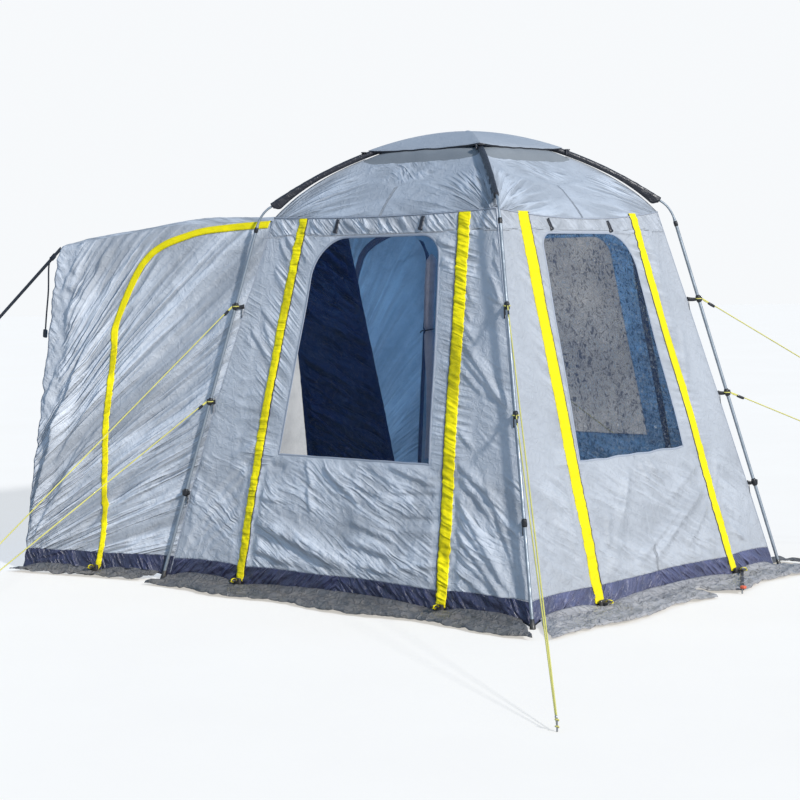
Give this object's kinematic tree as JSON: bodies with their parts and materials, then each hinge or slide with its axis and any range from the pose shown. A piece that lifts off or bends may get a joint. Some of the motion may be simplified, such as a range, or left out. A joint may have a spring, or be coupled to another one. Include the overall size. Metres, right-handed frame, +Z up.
{
  "type": "campervan awning",
  "caption": "Dome tent on outer legs with clear windows, mud flaps and guy ropes, and an open tunnel that fits round the back of a campervan.",
  "frame": {"origin": "on the ground under the middle of the whole outline, pegs and straps included, on the awning's centre line", "axes": "+X from the van end towards the tent's far face, -Y out through the face with the door shown in the picture, +Z up"},
  "size_m": [5.476, 6.616, 2.4376],
  "materials": {
    "wall_cloth": "coated polyester, fine plain weave",
    "roof_cloth": "coated polyester, satin",
    "navy_cloth": "coated polyester",
    "yellow_cloth": "bright woven cover tape",
    "skirt_sheet": "crumpled woven polythene sheet",
    "leg_steel": "zinc-plated tube",
    "black_webbing": "black woven sleeve and webbing",
    "guy_rope": "braided cord",
    "window_film": "clear flexible film",
    "vent_netting": "fine netting"
  },
  "bodies": {
    "root": {"front_wall": "wall_cloth", "right_wall": "wall_cloth", "back_wall": "wall_cloth", "doorway_wall": "wall_cloth", "front_tunnel_side": "wall_cloth", "back_tunnel_side": "wall_cloth", "tunnel_roof": "wall_cloth", "front_roof_panel": "roof_cloth", "right_roof_panel": "roof_cloth", "back_roof_panel": "roof_cloth", "left_roof_panel": "roof_cloth", "roof_cap": "roof_cloth", "front_ground_band": "navy_cloth", "right_ground_band": "navy_cloth", "back_ground_band": "navy_cloth", "front_tunnel_ground_band": "navy_cloth", "back_tunnel_ground_band": "navy_cloth", "front_tunnel_draught_flap": "navy_cloth", "back_tunnel_draught_flap": "navy_cloth", "doorway_door_sheet": "navy_cloth", "front_zip_cover_left": "yellow_cloth", "front_zip_cover_right": "yellow_cloth", "right_zip_cover_left": "yellow_cloth", "right_zip_cover_right": "yellow_cloth", "back_zip_cover_left": "yellow_cloth", "back_zip_cover_right": "yellow_cloth", "front_tunnel_zip_cover": "yellow_cloth", "back_tunnel_zip_cover": "yellow_cloth", "front_ground_skirt": "skirt_sheet", "right_ground_skirt": "skirt_sheet", "back_ground_skirt": "skirt_sheet", "front_tunnel_ground_skirt": "skirt_sheet", "back_tunnel_ground_skirt": "skirt_sheet", "leg_front_right": "leg_steel", "leg_front_left": "leg_steel", "leg_back_right": "leg_steel", "leg_back_left": "leg_steel", "roof_poles": "black_webbing", "van_strap_front": "black_webbing", "van_strap_back": "black_webbing", "guy_ropes_front_right": "guy_rope", "guy_ropes_front_left": "guy_rope", "guy_ropes_back_right": "guy_rope", "guy_ropes_back_left": "guy_rope", "front_window": "window_film", "right_window": "window_film", "back_window": "window_film", "vent_mesh": "vent_netting"}
  },
  "joints": []
}
